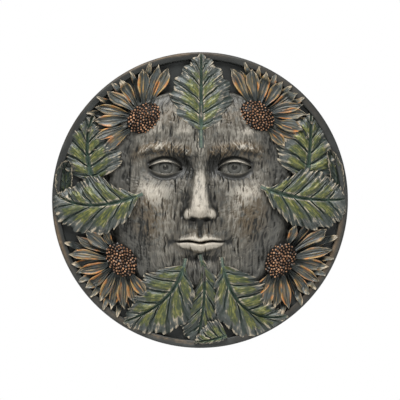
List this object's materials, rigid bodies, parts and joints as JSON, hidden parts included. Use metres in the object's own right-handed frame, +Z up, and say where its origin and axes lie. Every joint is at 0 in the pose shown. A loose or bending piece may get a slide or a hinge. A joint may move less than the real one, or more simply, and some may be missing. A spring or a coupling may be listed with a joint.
{
  "type": "wall plaque",
  "caption": "Round wall plaque in relief: a calm face ringed by serrated leaves and daisy heads, inside a raised rim.",
  "frame": {"origin": "centre of the flat back, on the wall", "axes": "+Z is up on the wall, the relief faces -Y, +X is to the viewer's right"},
  "size_m": [0.245, 0.0392, 0.245],
  "materials": {
    "bronze_resin": "cast resin with a dark bronze finish, dry-brushed champagne on the high places",
    "leaf_wash": "translucent green wash over the bronze finish, with pale brushed edges",
    "petal_wash": "slate and amber wash over the bronze finish, with orange brushed margins",
    "seed_copper": "copper-orange dry-brush on black"
  },
  "bodies": {
    "root": {"plaque": "bronze_resin"}
  },
  "joints": []
}
